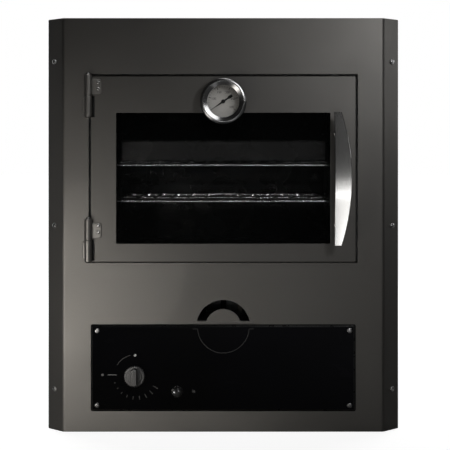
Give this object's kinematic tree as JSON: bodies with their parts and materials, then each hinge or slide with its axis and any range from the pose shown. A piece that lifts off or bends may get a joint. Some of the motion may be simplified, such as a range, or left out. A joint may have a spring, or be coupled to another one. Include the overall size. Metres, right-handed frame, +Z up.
{
  "type": "built-in gas oven",
  "caption": "Built-in gas oven with a folded front panel, side-hung glass door on barrel hinges, thermometer, bowed handle and a black control plate with tap and igniter.",
  "frame": {"origin": "middle of the bounding box's footprint, at the base", "axes": "+Z up, the door faces -Y, +X to the right when facing the door"},
  "size_m": [0.6, 0.575, 0.73],
  "materials": {
    "front_paint": "satin",
    "black_plate": "gloss",
    "casing_steel": "galvanised",
    "cavity_enamel": "enamel",
    "tray_enamel": "enamel",
    "rack_wire": "polished",
    "handle_steel": "brushed",
    "hinge_steel": "satin",
    "fastener_steel": "satin",
    "bezel_chrome": "polished",
    "dial_face": "satin",
    "pointer_black": "satin",
    "clear_glass": "clear",
    "seal_rope": "woven",
    "mineral_wool": "fibrous",
    "knob_metal": "satin",
    "igniter_black": "gloss",
    "catch_plastic": "matt",
    "brass": "satin",
    "pipe_steel": "galvanised",
    "pipe_copper": "satin",
    "electrode_ceramic": "matt",
    "lead_rubber": "matt"
  },
  "bodies": {
    "oven_body": {"front_panel": "front_paint", "control_plate": "black_plate", "casing_left": "casing_steel", "casing_right": "casing_steel", "casing_top": "casing_steel", "casing_base": "casing_steel", "casing_back": "casing_steel", "mouth_frame": "casing_steel", "heat_shield": "casing_steel", "valve_bracket": "casing_steel", "burner_brackets": "casing_steel", "flue_collar": "casing_steel", "cavity_left": "cavity_enamel", "cavity_right": "cavity_enamel", "cavity_ceiling": "cavity_enamel", "cavity_floor": "cavity_enamel", "cavity_back": "cavity_enamel", "rack_support_left": "cavity_enamel", "rack_support_right": "cavity_enamel", "upper_hinge_base": "hinge_steel", "lower_hinge_base": "hinge_steel", "front_panel_screws": "fastener_steel", "control_plate_screws": "fastener_steel", "hinge_pins": "fastener_steel", "insulation_blankets": "mineral_wool", "igniter_body": "igniter_black", "door_catch": "catch_plastic", "gas_injector": "brass", "gas_valve": "brass", "gas_inlet_pipe": "pipe_steel", "air_shutter": "pipe_steel", "burner": "pipe_steel", "burner_feed_pipe": "pipe_copper", "thermocouple": "pipe_copper", "spark_electrode": "electrode_ceramic", "ignition_lead": "lead_rubber"},
    "door": {"door_outer_panel": "front_paint", "door_inner_panel": "casing_steel", "outer_glass": "clear_glass", "inner_glass": "clear_glass", "glass_clips": "casing_steel", "door_seal": "seal_rope", "door_handle": "handle_steel", "handle_posts": "handle_steel", "upper_hinge_leaf": "hinge_steel", "lower_hinge_leaf": "hinge_steel", "hinge_screws": "fastener_steel", "thermometer_case": "bezel_chrome", "thermometer_bezel": "bezel_chrome", "thermometer_dial": "dial_face", "thermometer_lens": "clear_glass", "thermometer_stem": "fastener_steel"},
    "gauge_pointer": {"thermometer_pointer": "pointer_black"},
    "valve_rod": {"valve_push_rod": "fastener_steel"},
    "knob": {"control_knob": "knob_metal", "valve_spindle": "fastener_steel"},
    "igniter": {"igniter_button": "igniter_black"},
    "upper_rack": {"upper_rack": "rack_wire"},
    "lower_rack": {"lower_rack": "rack_wire"},
    "tray": {"roasting_tray": "tray_enamel"}
  },
  "joints": [
    {"name": "door_hinge", "type": "hinge", "parent": "oven_body", "child": "door", "pos_m": [-0.228, -0.2443, 0.445], "axis": [0, 0, -1], "range_deg": [0, 120]},
    {"name": "pointer_turn", "type": "hinge", "parent": "door", "child": "gauge_pointer", "pos_m": [0, -0.2495, 0.5585], "axis": [0, 1, 0], "range_deg": [0, 250]},
    {"name": "valve_push", "type": "slide", "parent": "oven_body", "child": "valve_rod", "axis": [0, 1, 0], "range_m": [0, 0.004], "stiffness_N_per_m": 1500},
    {"name": "knob_turn", "type": "hinge", "parent": "valve_rod", "child": "knob", "pos_m": [-0.149, -0.2575, 0.096], "axis": [0, -1, 0], "range_deg": [0, 240]},
    {"name": "igniter_push", "type": "slide", "parent": "oven_body", "child": "igniter", "axis": [0, 1, 0], "range_m": [0, 0.006], "stiffness_N_per_m": 1500},
    {"name": "upper_rack_slide", "type": "slide", "parent": "oven_body", "child": "upper_rack", "axis": [0, -1, 0], "range_m": [0, 0.015]},
    {"name": "lower_rack_slide", "type": "slide", "parent": "oven_body", "child": "lower_rack", "axis": [0, -1, 0], "range_m": [0, 0.015]},
    {"name": "tray_slide", "type": "slide", "parent": "upper_rack", "child": "tray", "axis": [0, -1, 0], "range_m": [0, 0.012]}
  ]
}
